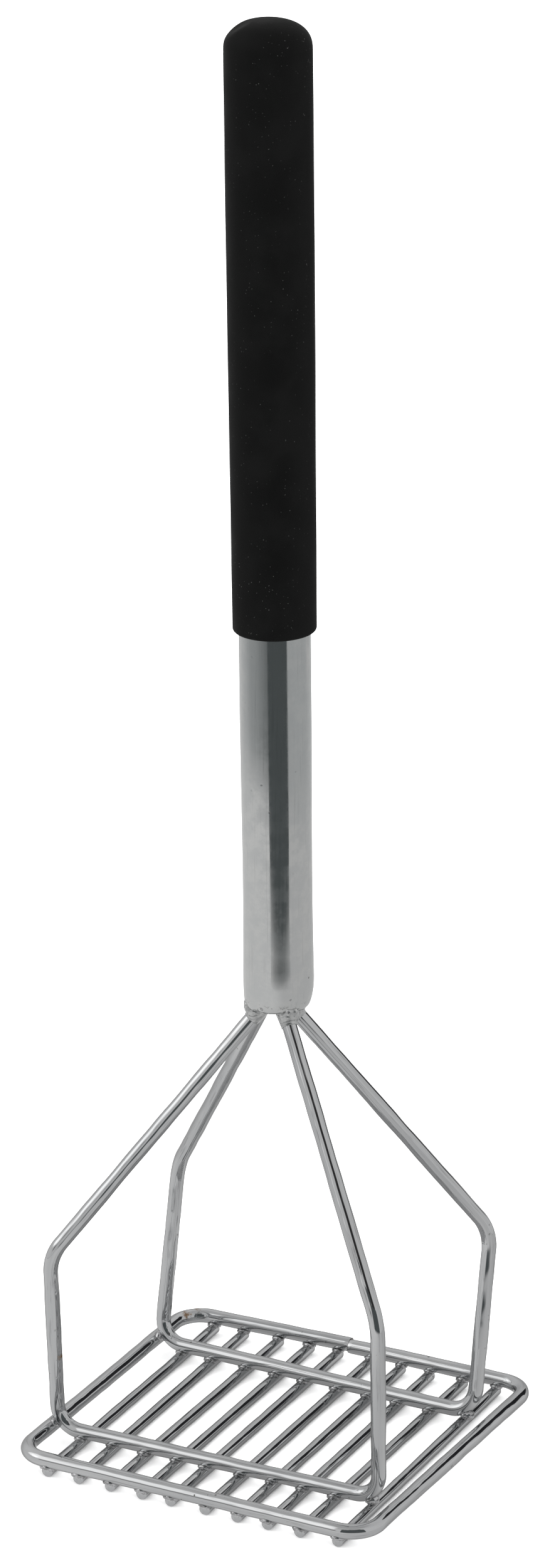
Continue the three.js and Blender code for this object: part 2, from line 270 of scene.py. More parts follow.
def chromeMaterial(name, stains=(), seam=None):
    look = chromeLook
    material, tree, shader = newMaterial(name, Metallic=1.0)
    section = addNode(tree, "ShaderNodeAttribute", attribute_name="wireSection").outputs["Vector"]
    along = addNode(tree, "ShaderNodeAttribute", attribute_name="wireLength").outputs["Fac"]
    across = separate(tree, section)
    drawnOut = mathNode(tree, "MULTIPLY", along, look["grainStretch"])
    squeezed = combine(tree, across["X"], across["Y"], drawnOut)
    grain = useGroup(tree, drawnGrain, {"Scale": look["grainScale"], "Place": squeezed})
    pits = useGroup(tree, platingPits, look["pits"])["Mask"]
    color = mixColor(tree, rampNode(tree, grain["Broad"], *look["patches"]), look["dull"], look["bright"])
    color = mixColor(tree, rampNode(tree, grain["Fac"], *look["streaks"]), color, look["streak"])
    color = mixColor(tree, pits, color, look["pit"])
    roughness = rampNode(tree, grain["Fac"], *look["roughening"])
    for centre, radius in stains:
        spot = useGroup(tree, stainSpot, {"Centre": Vector(centre) * mm, "Radius": radius * mm})["Mask"]
        color = mixColor(tree, spot, color, look["rust"])
        roughness = mathNode(tree, "MAXIMUM", roughness, mathNode(tree, "MULTIPLY", spot, look["rustRough"]))
    # Painted shade: the colour is darkened where the wire turns away from the view, towards its outline.
    turnedAway = addNode(tree, "ShaderNodeLayerWeight", {"Blend": 0.5}).outputs["Facing"]
    color = vectorMath(tree, "SCALE", color, scale=rampNode(tree, turnedAway, *look["edge"]))
    if seam is not None:
        color = mixColor(tree, seamLine(tree, objectPlace(tree), seam), color, look["pit"])
    wavePlace = vectorMath(tree, "MULTIPLY", squeezed, look["waveStretch"])
    wave = noiseNode(tree, wavePlace, *look["wave"]).outputs["Fac"]
    lift = mathNode(tree, "ADD", wave, mathNode(tree, "MULTIPLY", grain["Broad"], look["waveGrain"]))
    waves = bumpNode(tree, lift, *look["waveBump"])
    dents = bumpNode(tree, mathNode(tree, "MULTIPLY", pits, -1.0), *look["pitBump"], waves)
    connectLook(tree, shader, color, roughness, dents)
    return material


tubeLook = {
    "bright": (0.645, 0.65, 0.642),
    "dull": (0.60, 0.61, 0.608),
    "mottle": (190.0, 5.0, 0.65),
    "patches": (0.38, 0.68),
    "stain": (0.47, 0.475, 0.47),
    "stains": (0.54, 0.8, 0.0, 0.55),
    "grainScale": 1300.0,
    "grainStretch": (1.0, 1.0, 0.03),
    "pit": (0.1, 0.1, 0.1),
    "pits": {"Scale": 330.0, "Size": 0.17, "Crowding": 0.48},
    "crack": (0.16, 0.16, 0.16),
    "crackle": (250.0, 5.0, 0.6),
    "crackWidth": (0.022, 0.006),
    "crackTop": (154.6 * mm, 152.6 * mm),   # the cracks fade out between these heights
    "crackRagged": 6.0 * mm,
    "crackStrength": 0.8,
    "roughening": (0.2, 0.8, 0.13, 0.06),
    "sunk": 0.7,
    "bump": (0.03 * mm, 0.5),
}


def tubeMaterial():
    look = tubeLook
    material, tree, shader = newMaterial("platedTube", Metallic=1.0)
    place = objectPlace(tree)
    squeezed = vectorMath(tree, "MULTIPLY", place, look["grainStretch"])
    grain = useGroup(tree, drawnGrain, {"Scale": look["grainScale"], "Place": squeezed})
    pits = useGroup(tree, platingPits, look["pits"])["Mask"]
    mottle = noiseNode(tree, place, *look["mottle"]).outputs["Fac"]
    patches = rampNode(tree, mottle, *look["patches"])
    color = mixColor(tree, patches, look["dull"], look["bright"])
    color = mixColor(tree, rampNode(tree, grain["Fac"], *look["stains"]), color, look["stain"])
    color = mixColor(tree, pits, color, look["pit"])
    crackle = noiseNode(tree, place, *look["crackle"]).outputs["Fac"]
    middle = mathNode(tree, "ABSOLUTE", mathNode(tree, "SUBTRACT", crackle, 0.5))
    thin = rampNode(tree, middle, *look["crackWidth"])
    height = separate(tree, place)["Z"]
    raised = mathNode(tree, "ADD", height, mathNode(tree, "MULTIPLY", crackle, look["crackRagged"]))
    cracks = mathNode(tree, "MULTIPLY", thin, rampNode(tree, raised, *look["crackTop"]))
    color = mixColor(tree, mathNode(tree, "MULTIPLY", cracks, look["crackStrength"]), color, look["crack"])
    halfGrain = mathNode(tree, "MULTIPLY", grain["Fac"], 0.5)
    spread = mathNode(tree, "ADD", mathNode(tree, "MULTIPLY", patches, 0.5), halfGrain)
    roughness = rampNode(tree, spread, *look["roughening"])
    lift = mathNode(tree, "ADD", mathNode(tree, "MULTIPLY", grain["Broad"], 0.5), halfGrain)
    for mask in (pits, cracks):
        lift = mathNode(tree, "SUBTRACT", lift, mathNode(tree, "MULTIPLY", mask, look["sunk"]))
    connectLook(tree, shader, color, roughness, bumpNode(tree, lift, *look["bump"]))
    return material


weldLook = {
    "weldNugget": {"bright": (0.62, 0.62, 0.63), "dark": (0.30, 0.30, 0.30), "rough": (0.25, 0.08)},
    "brazeMetal": {"bright": (0.60, 0.605, 0.60), "dark": (0.45, 0.455, 0.455), "rough": (0.32, 0.16)},
    "lumps": (620.0, 4.0, 0.6),
    "patches": (0.34, 0.62),
    "roughening": (0.3, 0.7),
    "pit": (0.06, 0.058, 0.055),
    "pits": {"Scale": 500.0, "Size": 0.24, "Crowding": 0.42},
    "sunk": 0.5,
    "bump": (0.12 * mm, 0.6),
}


def weldMaterial(name):
    look, own = weldLook, weldLook[name]
    material, tree, shader = newMaterial(name, Metallic=1.0)
    lumps = noiseNode(tree, objectPlace(tree), *look["lumps"]).outputs["Fac"]
    pits = useGroup(tree, platingPits, look["pits"])["Mask"]
    color = mixColor(tree, rampNode(tree, lumps, *look["patches"]), own["dark"], own["bright"])
    color = mixColor(tree, pits, color, look["pit"])
    roughness = rampNode(tree, lumps, *look["roughening"], *own["rough"])
    height = mathNode(tree, "SUBTRACT", lumps, mathNode(tree, "MULTIPLY", pits, look["sunk"]))
    connectLook(tree, shader, color, roughness, bumpNode(tree, height, *look["bump"]))
    return material


gripLook = {
    "black": (0.0017, 0.0018, 0.0017),
    "worn": (0.0028, 0.0029, 0.0028),
    "patchNoise": (75.0, 4.0),
    "patches": (0.35, 0.7),
    "dust": (0.07, 0.07, 0.068),
    "dustStrength": 0.75,
    "specks": {"Scale": 1050.0, "Size": 0.17, "Crowding": 0.42},
    "roughening": (0.3, 0.7, 0.56, 0.7),
    "shine": 0.09,
    "grain": (1500.0, 3.0, 0.7),
    "bump": (0.07 * mm, 0.35),
}


def gripMaterial():
    look = gripLook
    material, tree, shader = newMaterial("blackVinyl", **{"Specular IOR Level": look["shine"]})
    place = objectPlace(tree)
    patches = noiseNode(tree, place, *look["patchNoise"]).outputs["Fac"]
    grain = noiseNode(tree, place, *look["grain"]).outputs["Fac"]
    specks = useGroup(tree, platingPits, look["specks"])["Mask"]
    color = mixColor(tree, rampNode(tree, patches, *look["patches"]), look["black"], look["worn"])
    color = mixColor(tree, mathNode(tree, "MULTIPLY", specks, look["dustStrength"]), color, look["dust"])
    roughness = rampNode(tree, patches, *look["roughening"])
    connectLook(tree, shader, color, roughness, bumpNode(tree, grain, *look["bump"]))
    return material


# Sizes, in millimetres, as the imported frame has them

def boxMm(node):
    low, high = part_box(node)
    return low / mm, high / mm


rimLow, rimHigh = boxMm("rim_ring")
wireDiameter = rimHigh.z - rimLow.z
wireRadius = wireDiameter / 2
wireZ = (rimHigh.z + rimLow.z) / 2
barLow, barHigh = boxMm("mashing_bar_01")
barDiameter = barHigh.z - barLow.z
barRadius = barDiameter / 2

rimShape = {
    "frontLeft": (-60.2, -59.9), "frontRight": (61.7, -59.9), "rearRight": (62.0, 59.0),
    "seam": (-3.2, 59.23),        # where the two ends of the wire are butted together
    "rearLeft": (-62.4, 57.3),
    "cornerRadius": 9.5,
    "seamMiss": 0.47,             # how far each end is off the middle, forwards or back
    "seamStep": 0.09,             # and up or down, over the last few millimetres
    "seamReach": 14.0,
    "pinch": 0.16, "pinchWidth": 0.5,
    "rod": {"facets": 40, "unevenness": 0.5, "noiseScale": 90.0},
    "seed": 1.7,
    "rust": [((-58.8, 56.6, 7.2), 5.2), ((-60.0, 52.0, 7.0), 4.0)],
}

bailShape = {
    "stubTop": 163.0,
    "mouthZ": 148.0,
    "radii": {"foot": 8.0, "knee": 15.0, "mouth": 6.0},
    "front": {
        "left": {"foot": (-58.2, -37.3), "knee": (-59.4, -39.8, 65.5), "mouth": (-3.6, -2.9)},
        "right": {"foot": (54.0, -34.9), "knee": (55.0, -39.1, 66.6), "mouth": (3.7, -2.8)},
        "seed": 11.0, "dents": [],
    },
    "rear": {
        "left": {"foot": (-59.7, 33.8), "knee": (-59.1, 44.7, 64.7), "mouth": (-4.9, 2.5)},
        "right": {"foot": (54.1, 32.6), "knee": (53.2, 44.7, 64.6), "mouth": (1.9, 2.6)},
        "seed": 29.0,
        # knocks on the right knee: centre, reach, depth, direction
        "dents": [((51.9, 43.2, 60.5), 2.2, 0.35, (-1, 1, 0)), ((52.6, 43.3, 66.5), 2.0, 0.3, (-1, 1, -1)),
                  ((49.3, 41.5, 69.5), 2.0, 0.28, (-1, 1, -1))],
    },
    "rod": {"facets": 40, "unevenness": 0.55, "noiseScale": 80.0},
    "rust": [((-57.0, -38.5, 31.0), 3.4)],
}


# Wires: each is a curve that a node tree turns into a round, slightly uneven rod

def bendPoints(before, corner, after, radius, steps=24):
    into = (corner - before).normalized()
    outOf = (after - corner).normalized()
    angle = into.angle(outOf)
    inward = (outOf - into * math.cos(angle)).normalized()
    start = corner - into * (radius * math.tan(angle / 2))
    centre = start + inward * radius
    turns = [angle * step / steps for step in range(steps + 1)]
    return [centre - inward * (radius * math.cos(turn)) + into * (radius * math.sin(turn)) for turn in turns]


def makeWireTree():
    tree, given, result = newGroup(
        "roundWire", "GeometryNodeTree",
        [("Geometry", "NodeSocketGeometry", None), ("Radius", "NodeSocketFloat", 0.0024),
         ("Step", "NodeSocketFloat", 0.001), ("Facets", "NodeSocketInt", 32),
         ("Unevenness", "NodeSocketFloat", 0.00005), ("Noise Scale", "NodeSocketFloat", 120.0),
         ("Seed", "NodeSocketFloat", 0.0), ("Material", "NodeSocketMaterial", None)],
        [("Geometry", "NodeSocketGeometry")])
    source = given.outputs
    even = addNode(tree, "GeometryNodeResampleCurve", {"Curve": source["Geometry"], "Length": source["Step"]},
                   mode="LENGTH")
    run = addNode(tree, "GeometryNodeSplineParameter")
    marked = addNode(tree, "GeometryNodeStoreNamedAttribute",
                     {"Geometry": even.outputs["Curve"], "Name": "wireLength",
                      "Value": run.outputs["Length"]},
                     data_type="FLOAT", domain="POINT")
    circle = addNode(tree, "GeometryNodeCurvePrimitiveCircle",
                     {"Resolution": source["Facets"], "Radius": source["Radius"]})
    across = addNode(tree, "GeometryNodeInputPosition")
    section = addNode(tree, "GeometryNodeStoreNamedAttribute",
                      {"Geometry": circle.outputs["Curve"], "Name": "wireSection",
                       "Value": across.outputs["Position"]},
                      data_type="FLOAT_VECTOR", domain="POINT")
    taper = addNode(tree, "GeometryNodeInputRadius")
    rod = addNode(tree, "GeometryNodeCurveToMesh",
                  {"Curve": marked.outputs["Geometry"], "Profile Curve": section.outputs["Geometry"],
                   "Scale": taper.outputs["Radius"], "Fill Caps": True})
    bumps = addNode(tree, "ShaderNodeTexNoise", {"Scale": source["Noise Scale"], "W": source["Seed"],
                                                 "Detail": 1.0}, noise_dimensions="4D")
    level = mathNode(tree, "SUBTRACT", bumps.outputs[0], 0.62)   # mostly below zero, so nothing swells
    amount = mathNode(tree, "MULTIPLY", mathNode(tree, "MINIMUM", level, 0.0), source["Unevenness"])
    moved = pushOut(tree, rod.outputs["Mesh"], amount)
    tree.links.new(finishedMesh(tree, moved, source["Material"]), result.inputs["Geometry"])
    return tree


def pushOut(tree, geometry, amount):
    # Moves each point along its normal.
    normal = addNode(tree, "GeometryNodeInputNormal").outputs["Normal"]
    offset = vectorMath(tree, "SCALE", normal, scale=amount)
    moved = addNode(tree, "GeometryNodeSetPosition", {"Geometry": geometry, "Offset": offset})
    return moved.outputs["Geometry"]


def finishedMesh(tree, geometry, material):
    smooth = addNode(tree, "GeometryNodeSetShadeSmooth", {"Geometry": geometry}).outputs["Geometry"]
    real = addNode(tree, "GeometryNodeRealizeInstances", {"Geometry": smooth}).outputs["Geometry"]
    finished = addNode(tree, "GeometryNodeSetMaterial", {"Geometry": real, "Material": material})
    return finished.outputs["Geometry"]


def makeBarTree():
    # The same rod without the even spacing, so that the cut ends keep their own stations.
    tree = wireTree.copy()
    tree.name = "barRod"
    even = next(node for node in tree.nodes if node.bl_idname == "GeometryNodeResampleCurve")
    marked = next(node for node in tree.nodes if node.bl_idname == "GeometryNodeStoreNamedAttribute"
                  and node.data_type == "FLOAT")
    given = next(node for node in tree.nodes if node.bl_idname == "NodeGroupInput")
    tree.links.new(given.outputs["Geometry"], marked.inputs["Geometry"])
    tree.nodes.remove(even)
    return tree


wireTree = makeWireTree()
barTree = makeBarTree()


def setInputs(modifier, values):
    for item in modifier.node_group.interface.items_tree:
        if item.item_type == "SOCKET" and item.in_out == "INPUT" and item.name in values:
            modifier[item.identifier] = values[item.name]


def addObject(name, data):
    made = bpy.data.objects.new(name, data)
    bpy.context.scene.collection.objects.link(made)
    return made


def keepResult(source, name):
    # What the source's modifiers make becomes a plain mesh piece, and the source goes.
    bpy.context.view_layer.update()
    evaluated = source.evaluated_get(bpy.context.evaluated_depsgraph_get())
    mesh = bpy.data.meshes.new_from_object(evaluated)
    mesh.name = name
    source.modifiers.clear()
    bpy.data.objects.remove(source)
    return addObject(name, mesh)


def bakeTree(source, tree, values, name):
    modifier = source.modifiers.new(tree.name, "NODES")
    modifier.node_group = tree
    setInputs(modifier, values)
    return keepResult(source, name)


def curveObject(points, name, radii=None):
    curve = bpy.data.curves.new(name + "Path", "CURVE")
    curve.dimensions = "3D"
    spline = curve.splines.new("POLY")
    spline.points.add(len(points) - 1)
    for index, point in enumerate(points):
        spline.points[index].co = (*(point * mm), 1.0)
        spline.points[index].radius = radii[index] if radii else 1.0
    return addObject(name + "Source", curve)


rodStep = 0.9     # how far apart a bent wire's rings are


def rodValues(radius, rod, seed, finish):
    return {"Radius": radius * mm, "Step": rodStep * mm, "Facets": rod["facets"],
            "Unevenness": rod["unevenness"] * mm, "Noise Scale": rod["noiseScale"], "Seed": seed,
            "Material": finish}


def smoothFaces(mesh):
    for polygon in mesh.polygons:
        polygon.use_smooth = True


def sharpenEdges(piece, degrees=35.0):
    work = bmesh.new()
    work.from_mesh(piece.data)
    limit = math.radians(degrees)
    for edge in work.edges:
        edge.smooth = len(edge.link_faces) != 2 or edge.calc_face_angle(0.0) < limit
    bmesh.ops.recalc_face_normals(work, faces=work.faces)
    work.to_mesh(piece.data)
    work.free()


def finishPiece(piece, nodes):
    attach(piece, "root")
    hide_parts(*nodes)
    return piece


def moveVertices(piece, shift):
    # shift takes a place in millimetres and gives the move in millimetres.
    for vertex in piece.data.vertices:
        vertex.co += shift(vertex.co / mm) * mm


def hollowAt(centre, reach, depth, towards):
    # A smooth dent of a given reach and depth, pressed in one direction.
    centre, towards = Vector(centre), Vector(towards).normalized()

    def shift(place):
        distance = (place - centre).length / reach
        return towards * depth * (1 - distance * distance) ** 2 if distance < 1 else Vector()
    return shift


rimFinish = chromeMaterial("chromeRim", rimShape["rust"], seam=rimShape["seam"][0] * mm)
bailFinish = chromeMaterial("chromeBail", bailShape["rust"])
barFinish = chromeMaterial("chromeBar")


def seamShift(place):
    # The butted ends are drawn in a little where they meet, and one stands above the other.
    shape = rimShape
    seamX, seamY = shape["seam"]
    aside = abs(place.x - seamX)
    if place.y < 0 or aside > shape["seamReach"]:
        return Vector()
    inward = (Vector((place.x, seamY, wireZ)) - place).normalized()
    step = shape["seamStep"] * (1 - aside / shape["seamReach"]) ** 2
    pinch = shape["pinch"] * math.exp(-((aside / shape["pinchWidth"]) ** 2))
    return inward * pinch + Vector((0, 0, step if place.x < seamX + 0.001 else -step))


def makeRim():
    # One open wire that runs from the seam right round the ring and back to it.
    shape = rimShape
    miss = Vector((0, shape["seamMiss"], 0))
    seam = Vector((*shape["seam"], wireZ))
    corners = [Vector((*shape[name], wireZ)) for name in ("rearRight", "frontRight", "frontLeft", "rearLeft")]
    stops = [seam - miss, *corners, seam + miss]
    points = [stops[0]]
    for index in range(len(corners)):
        points += bendPoints(*stops[index:index + 3], shape["cornerRadius"])
    points.append(stops[-1])
    values = rodValues(wireRadius, shape["rod"], shape["seed"], rimFinish)
    piece = bakeTree(curveObject(points, "rimRing"), wireTree, values, "rimRing")
    moveVertices(piece, seamShift)
    sharpenEdges(piece)
    return finishPiece(piece, ["rim_ring"])


def bailPath(legs):
    shape = bailShape
    points = []
    for side in ("left", "right"):
        leg = legs[side]
        along = [Vector((*leg["mouth"], shape["stubTop"])), Vector((*leg["mouth"], shape["mouthZ"])),
                 Vector(leg["knee"]), Vector((*leg["foot"], wireZ))]
        points += along if side == "left" else along[::-1]
    radii = [shape["radii"][name] for name in ("mouth", "knee", "foot", "foot", "knee", "mouth")]
    path = [points[0]]
    for index, radius in enumerate(radii):
        path += bendPoints(*points[index:index + 3], radius)
    return path + [points[-1]]


def makeBail(which, node):
    bail = bailShape[which]
    name = which + "Bail"
    values = rodValues(wireRadius, bailShape["rod"], bail["seed"], bailFinish)
    piece = bakeTree(curveObject(bailPath(bail), name), wireTree, values, name)
    for dent in bail["dents"]:
        moveVertices(piece, hollowAt(*dent))
    sharpenEdges(piece)
    return finishPiece(piece, [node])


def barEnds(node):
    # A bar leans a little, so its two ends are at opposite corners of its box.
    low, high = boxMm(node)
    return Vector((high.x - barRadius, low.y, barRadius)), Vector((low.x + barRadius, high.y, barRadius))


barNodes = [name for name in nodeNames if name.startswith("mashing_bar_")]
barShape = {
    "chamfer": 0.22, "roundEnd": 1.1, "endSteps": 8, "middleSteps": 60,
    "chamferRings": ((0.0, 1.0), (0.35, 0.3), (1.0, 0.0)),   # along and into the bar, in chamfers
    "endNarrowing": 0.9,
    "rod": {"facets": 32, "unevenness": 0.4, "noiseScale": 110.0},
    "firstSeed": 3.1, "seedStep": 2.3,
}


def makeBar(node, number):
    # From the sheared front end, along the straight middle, to the rounded rear end.
    shape = barShape
    front, rear = barEnds(node)
    along = (rear - front).normalized()
    length = (rear - front).length
    chamfer, roundEnd = shape["chamfer"], shape["roundEnd"]
    straight = length - roundEnd - chamfer
    places = [chamfer * share for share, _ in shape["chamferRings"]]
    radii = [1 - chamfer * cut / barRadius for _, cut in shape["chamferRings"]]
    for step in range(1, shape["middleSteps"]):
        places.append(chamfer + straight * step / shape["middleSteps"])
        radii.append(1.0)
    for step in range(shape["endSteps"] + 1):
        turn = math.pi / 2 * step / shape["endSteps"]
        places.append(length - roundEnd + roundEnd * math.sin(turn))
        radii.append(1 - (roundEnd / barRadius) * (1 - math.cos(turn)) * shape["endNarrowing"])
    name = f"mashingBar{number:02d}"
    source = curveObject([front + along * place for place in places], name, radii)
    seed = shape["firstSeed"] + number * shape["seedStep"]
    values = rodValues(barRadius, shape["rod"], seed, barFinish)
    piece = bakeTree(source, barTree, values, name)
    sharpenEdges(piece, 50.0)
    return finishPiece(piece, [node])


makeRim()
makeBail("front", "front_bail")
makeBail("rear", "rear_bail")
for number, node in enumerate(barNodes, 1):
    makeBar(node, number)
print("wires made:", len(barNodes), "bars")


# Welds: a ring of squeezed-out metal round each crossing

weldShape = {"Along Wire": 1.55, "Along Bar": 1.75, "Thickness": 0.62, "Rise": 0.32, "Fall": 0.37}
weldSunk = 0.2      # how far a ring's middle is below the top of its bar
nuggetFinish = weldMaterial("weldNugget")


def crossingPlace(node, points, rounds=3):
    # Where a bar passes under a run, which goes through a row of points from -X to +X.
    # Each round puts the place nearer to the crossing.
    front, rear = barEnds(node)
    x = front.x
    for _ in range(rounds):
        after = next(index for index in range(1, len(points)) if points[index][0] >= x)
        (startX, startY), (endX, endY) = points[after - 1], points[after]
        y = startY + (endY - startY) * (x - startX) / (endX - startX)
        x = front.x + (rear.x - front.x) * (y - front.y) / (rear.y - front.y)
    return Vector((x, y, barDiameter - weldSunk))


def makeWeldTree():
    tree, given, result = newGroup(
        "weldRings", "GeometryNodeTree",
        [("Geometry", "NodeSocketGeometry", None), ("Along Wire", "NodeSocketFloat", 0.0015),
         ("Along Bar", "NodeSocketFloat", 0.0017), ("Thickness", "NodeSocketFloat", 0.0006),
         ("Rise", "NodeSocketFloat", 0.0003), ("Fall", "NodeSocketFloat", 0.0003),
         ("Seed", "NodeSocketInt", 4), ("Material", "NodeSocketMaterial", None)],
        [("Geometry", "NodeSocketGeometry")])
    source = given.outputs
    ring = addNode(tree, "GeometryNodeCurvePrimitiveCircle", {"Resolution": 26, "Radius": 1.0})
    parts = separate(tree, addNode(tree, "GeometryNodeInputPosition").outputs["Position"])
    x, y = parts["X"], parts["Y"]
    up = mathNode(tree, "MULTIPLY", mathNode(tree, "MULTIPLY", y, y), source["Rise"])
    down = mathNode(tree, "MULTIPLY", mathNode(tree, "MULTIPLY", x, x), source["Fall"])
    saddle = combine(tree, mathNode(tree, "MULTIPLY", x, source["Along Wire"]),
                     mathNode(tree, "MULTIPLY", y, source["Along Bar"]), mathNode(tree, "SUBTRACT", up, down))
    shaped = addNode(tree, "GeometryNodeSetPosition", {"Geometry": ring.outputs["Curve"], "Position": saddle})
    section = addNode(tree, "GeometryNodeCurvePrimitiveCircle",
                      {"Resolution": 12, "Radius": source["Thickness"]})
    bead = addNode(tree, "GeometryNodeCurveToMesh",
                   {"Curve": shaped.outputs["Geometry"], "Profile Curve": section.outputs["Curve"]})
    size = addNode(tree, "FunctionNodeRandomValue", {2: 0.9, 3: 1.12, "Seed": source["Seed"]})
    many = addNode(tree, "GeometryNodeInstanceOnPoints",
                   {"Points": source["Geometry"], "Instance": bead.outputs["Mesh"], "Scale": size.outputs[1]})
    real = addNode(tree, "GeometryNodeRealizeInstances", {"Geometry": many.outputs["Instances"]})
    lumps = addNode(tree, "ShaderNodeTexNoise", {"Scale": 900.0, "Detail": 1.0})
    level = mathNode(tree, "SUBTRACT", lumps.outputs[0], 0.45)
    amount = mathNode(tree, "MULTIPLY", level, mathNode(tree, "MULTIPLY", source["Thickness"], 1.5))
    moved = pushOut(tree, real.outputs["Geometry"], amount)
    tree.links.new(finishedMesh(tree, moved, source["Material"]), result.inputs["Geometry"])
    return tree


weldTree = makeWeldTree()


def pointObject(places, name):
    mesh = bpy.data.meshes.new(name + "Points")
    mesh.from_pydata([place * mm for place in places], [], [])
    return addObject(name + "Source", mesh)


def footRun(which):
    return [bailShape[which]["left"]["foot"], bailShape[which]["right"]["foot"]]


# Each run's points, the nodes that its welds stand for, how far they are set in, and a seed
weldRuns = {
    "rimFront": {"points": [rimShape["frontLeft"], rimShape["frontRight"]],
                 "nodes": "weld_rim_front_", "inset": 0.35, "seed": 3},
    "bailFront": {"points": footRun("front"), "nodes": "weld_bail_front_", "inset": 0.0, "seed": 4},
    "bailRear": {"points": footRun("rear"), "nodes": "weld_bail_rear_", "inset": 0.0, "seed": 5},
    "rimRear": {"points": [rimShape["rearLeft"], rimShape["seam"], rimShape["rearRight"]],
                "nodes": "weld_rim_rear_", "inset": -0.35, "seed": 6},
}


def makeCrossingWelds(run):
    values = weldRuns[run]
    crossed = [name for name in nodeNames if name.startswith(values["nodes"])]
    inset = Vector((0, values["inset"], 0))
    places = [crossingPlace(node, values["points"]) + inset for node in barNodes[:len(crossed)]]
    inputs = {label: size * mm for label, size in weldShape.items()}
    inputs.update({"Seed": values["seed"], "Material": nuggetFinish})
    name = run + "Welds"
    piece = bakeTree(pointObject(places, name), weldTree, inputs, name)
    sharpenEdges(piece, 180.0)
    return finishPiece(piece, crossed)


for run in weldRuns:
    makeCrossingWelds(run)


# Lumps of weld metal, melted together by a fine remesh

def lumpMesh(balls, cones=()):
    work = bmesh.new()
    for centre, radii in balls:
        size = Matrix.Diagonal((*[radius * mm for radius in radii], 1.0))
        place = Matrix.Translation(Vector(centre) * mm) @ size
        bmesh.ops.create_icosphere(work, subdivisions=3, radius=1.0, matrix=place)
    for top, bottom, topRadius, bottomRadius in cones:
        top, bottom = Vector(top) * mm, Vector(bottom) * mm
        turn = (top - bottom).to_track_quat("Z", "Y").to_matrix().to_4x4()
        place = Matrix.Translation((top + bottom) / 2) @ turn
        bmesh.ops.create_cone(work, cap_ends=True, segments=40, radius1=bottomRadius * mm,
                              radius2=topRadius * mm, depth=(top - bottom).length, matrix=place)
    mesh = bpy.data.meshes.new("lumps")
    work.to_mesh(mesh)
    work.free()
    return mesh


def meltPiece(name, mesh, voxel, smoothing, material):
    source = addObject(name + "Source", mesh)
    melt = source.modifiers.new("melt", "REMESH")
    melt.mode = "VOXEL"
    melt.voxel_size = voxel * mm
    flow = source.modifiers.new("flow", "SMOOTH")
    flow.factor = 0.5
    flow.iterations = smoothing
    piece = keepResult(source, name)
    piece.data.materials.clear()
    piece.data.materials.append(material)
    smoothFaces(piece.data)
    return piece


noiseSteps = (0.0, 31.4, 57.9)     # how far apart the noise for X, Y and Z is read


def roughen(reach, depth, seed):
    # A push that changes from place to place and is the same in every run.
    def shift(place):
        amount = noise.noise(place / reach + Vector((seed, seed, seed)))
        start = place / reach + Vector((seed, 0, 0))
        direction = Vector([noise.noise(start + Vector((0, away, 0))) for away in noiseSteps])
        return direction * depth * amount
    return shift


cornerLump = {
    "beads": 5, "beadRadii": (0.9, 1.0, 0.8), "spread": (1.1, 1.6, 0.5),   # small beads round a bigger one
    "voxel": 0.22, "smoothing": 3, "roughReach": 0.9, "roughDepth": 0.35,
}
# Each corner's bail and side, the big bead's place from the bail's foot, its radii, and a seed
cornerWelds = {
    "frontLeft": {"leg": ("front", "left"), "from": (-1.1, 0.0, 7.4), "radii": (1.7, 2.4, 1.9), "seed": 5},
    "rearLeft": {"leg": ("rear", "left"), "from": (-0.4, 0.0, 7.6), "radii": (1.6, 2.4, 1.9), "seed": 6},
    "frontRight": {"leg": ("front", "right"), "from": (-2.3, 0.0, 4.9), "radii": (2.4, 2.1, 1.9), "seed": 7},
    "rearRight": {"leg": ("rear", "right"), "from": (-2.2, 0.0, 4.9), "radii": (2.4, 2.1, 1.9), "seed": 8},
}


def makeCornerWeld(corner):
    shape, values = cornerLump, cornerWelds[corner]
    which, side = values["leg"]
    spreadX, spreadY, spreadZ = shape["spread"]
    middle = Vector((*bailShape[which][side]["foot"], 0.0)) + Vector(values["from"])
    balls = [(middle, values["radii"])]
    for step in range(shape["beads"]):
        turn = 2 * math.pi * step / shape["beads"] + values["seed"]
        beside = Vector((math.cos(turn) * spreadX, math.sin(turn) * spreadY, math.sin(turn * 2) * spreadZ))
        balls.append((middle + beside, shape["beadRadii"]))
    name = corner + "CornerWeld"
    piece = meltPiece(name, lumpMesh(balls), shape["voxel"], shape["smoothing"], nuggetFinish)
    moveVertices(piece, roughen(shape["roughReach"], shape["roughDepth"], values["seed"]))
    return finishPiece(piece, [f"weld_corner_{which}_{side}"])


for corner in cornerWelds:
    makeCornerWeld(corner)
print("welds made")


# The handle: a necked tube, its braze and the grip, all on an axis that leans a little

handleAxis = {"x": 0.2, "y": 0.3, "z": bailShape["mouthZ"], "lean": math.radians(-1)}
handlePlace = (Matrix.Translation(Vector((handleAxis["x"], handleAxis["y"], handleAxis["z"])) * mm)
               @ Matrix.Rotation(handleAxis["lean"], 4, "Y"))
tubeShape = {
    "radius": 11.0, "wall": 1.2, "length": 299.0, "neck": 9.0, "mouth": 9.6, "mouthShift": -0.6,
    "waist": 0.26, "waistAt": 43.0, "waistReach": 32.0, "waistStart": 8.0,   # a slight narrowing
    "neckSteps": 12, "steps": 110, "roughReach": 16.0, "roughDepth": 0.12,
}
gripShape = {
    "bottomRadius": 12.9, "radius": 13.3, "bottom": 121.8, "top": 309.66, "lip": 1.0,
    "dome": 9.0, "power": 2.4, "bore": 11.3, "headroom": 0.3,
    "lipSteps": 10, "sideSteps": 90, "swellSteps": 60, "domeSteps": 22,
    "skinReach": 24.0, "skinDepth": 0.16, "skinStart": 6.0,   # the skin is even this near to the axis
    # the dented shoulder: centre, reach, depth, direction
    "dent": ((-13.6, -4.0, 455.6), 6.0, 0.85, (0.5, 0.25, -0.83)),
}
latheSegments = 112


